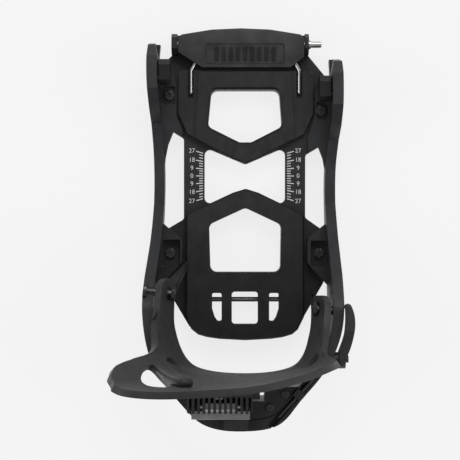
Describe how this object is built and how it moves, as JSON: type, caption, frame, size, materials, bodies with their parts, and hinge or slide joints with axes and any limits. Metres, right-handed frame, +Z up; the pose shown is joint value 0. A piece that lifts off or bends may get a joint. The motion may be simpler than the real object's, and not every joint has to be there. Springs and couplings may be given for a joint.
{
  "type": "step-in snowboard binding",
  "caption": "Strapless step-in snowboard binding with a folding highback, heel latch with release lever, toe hooks and a sliding toe ramp.",
  "frame": {"origin": "centre of the disc opening, on the underside of the base", "axes": "+Y to the toe, +X to the outer side of the right foot, +Z up"},
  "size_m": [0.1646, 0.2867, 0.2334],
  "materials": {
    "pad": "closed-cell foam, matt",
    "chassis": "fine moulded texture",
    "frame": "smooth satin, slightly blue black",
    "footbed": "matt, lightly grained",
    "ramp": "matt",
    "highback": "smooth satin",
    "hook": "satin",
    "lever": "satin",
    "steel": "bright drawn wire",
    "screw": "black zinc plated",
    "bright": "bright plated",
    "adjuster": "satin",
    "housing": "satin",
    "marks": "pad printed white"
  },
  "bodies": {
    "base": {"base_pad": "pad", "chassis": "chassis", "cross_rod": "steel", "toe_cross_pin": "bright", "scale_marks": "marks", "footbed_front": "footbed", "footbed_rear": "footbed", "hoop_frame": "frame", "frame_screws": "screw", "toe_hook_left": "hook", "toe_hook_right": "hook", "toe_hook_screws": "screw", "pivot_bolts": "screw", "pivot_nuts": "screw", "heel_housing": "housing", "housing_cover": "housing", "housing_screws": "screw", "spring_stud": "steel", "latch_spring": "steel", "rod_clip": "housing"},
    "toe_ramp_unit": {"toe_ramp": "ramp", "ramp_wires": "bright", "ramp_grip": "footbed"},
    "highback": {"highback_shell": "highback", "lean_rack": "adjuster", "rack_screws": "screw"},
    "lean_unit": {"lean_adjuster": "adjuster", "lean_lever_pin": "steel"},
    "lean_lock": {"lean_lock_lever": "steel"},
    "release": {"release_lever": "lever", "lever_shaft": "screw", "lever_crank": "screw"},
    "latch": {"heel_latch": "screw"},
    "pull": {"pull_rod": "screw"}
  },
  "joints": [
    {"name": "ramp_slide", "type": "slide", "parent": "base", "child": "toe_ramp_unit", "axis": [0, 1, 0], "range_m": [0, 0.006]},
    {"name": "highback_hinge", "type": "hinge", "parent": "base", "child": "highback", "pos_m": [0, -0.09011, 0.07], "axis": [-0.9945, 0.1047, 0], "range_deg": [0, 78]},
    {"name": "lean_slide", "type": "slide", "parent": "highback", "child": "lean_unit", "axis": [0, 0, 1], "range_m": [0, 0.014]},
    {"name": "lean_lock_hinge", "type": "hinge", "parent": "lean_unit", "child": "lean_lock", "pos_m": [-0.018, -0.158, 0.116], "axis": [-1, 0, 0], "range_deg": [0, 70]},
    {"name": "release_hinge", "type": "hinge", "parent": "base", "child": "release", "pos_m": [0.062, -0.13, 0.076], "axis": [1, 0, 0], "range_deg": [0, 60], "stiffness_Nm_per_rad": 0.04},
    {"name": "latch_slide", "type": "slide", "parent": "base", "child": "latch", "axis": [0, -1, 0], "range_m": [0, 0.0045], "deforming": ["latch_spring"]},
    {"name": "pull_slide", "type": "slide", "parent": "base", "child": "pull", "axis": [0.6674, 0.7447, 0], "range_m": [0, 0.006]}
  ],
  "couplings": [
    {"joint": "latch_slide", "follows": "release_hinge", "m_per_rad": 0.004297},
    {"joint": "pull_slide", "follows": "release_hinge", "m_per_rad": 0.00573}
  ]
}
